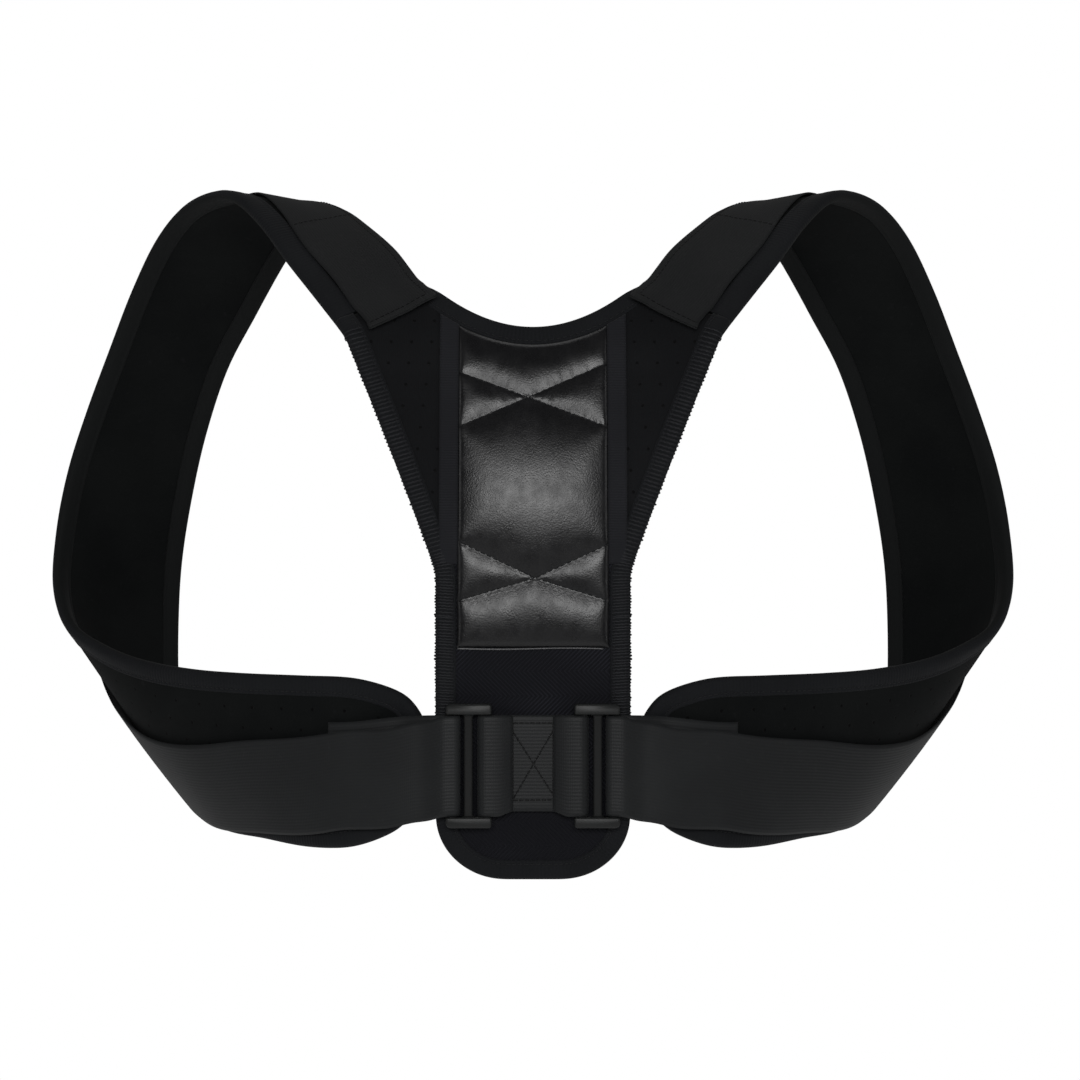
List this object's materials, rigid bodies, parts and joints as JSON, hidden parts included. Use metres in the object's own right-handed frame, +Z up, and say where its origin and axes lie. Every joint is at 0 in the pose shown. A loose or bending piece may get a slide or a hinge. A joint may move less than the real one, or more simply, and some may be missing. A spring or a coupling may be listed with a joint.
{
  "type": "posture corrector",
  "caption": "Posture corrector brace: padded back panel with a quilted cushion, padded shoulder loops, and waist straps through ladder buckles, in its worn form.",
  "frame": {"origin": "the inner face of the back panel, on the spine line, behind the middle of the quilted cushion, where the brace sits on the wearer's upper back", "axes": "+X to the wearer's right, +Y the way the wearer faces, +Z up; the brace hangs in the form that it has when worn"},
  "size_m": [0.5314, 0.2088, 0.3573],
  "materials": {
    "padding": "matt perforated knit over foam",
    "edge_binding": "matt elastic binding tape with overlocked stitching",
    "cushion_leather": "soft glossy imitation leather, fine grain",
    "side_tape": "matt woven tape",
    "webbing": "satin woven webbing with a fine rib",
    "buckle_plastic": "satin black moulded plastic"
  },
  "bodies": {
    "root": {"back_panel": "padding", "panel_binding": "edge_binding", "neckline_binding": "edge_binding", "quilted_cushion": "cushion_leather", "centre_webbing": "webbing", "panel_tape_right": "side_tape", "panel_tape_left": "side_tape", "shoulder_pad_right": "padding", "shoulder_pad_left": "padding", "shoulder_binding_right": "edge_binding", "shoulder_binding_left": "edge_binding", "shoulder_cover_right": "webbing", "shoulder_cover_left": "webbing", "waist_strap_right": "webbing", "waist_strap_left": "webbing", "buckle_right": "buckle_plastic", "buckle_left": "buckle_plastic"}
  },
  "joints": []
}
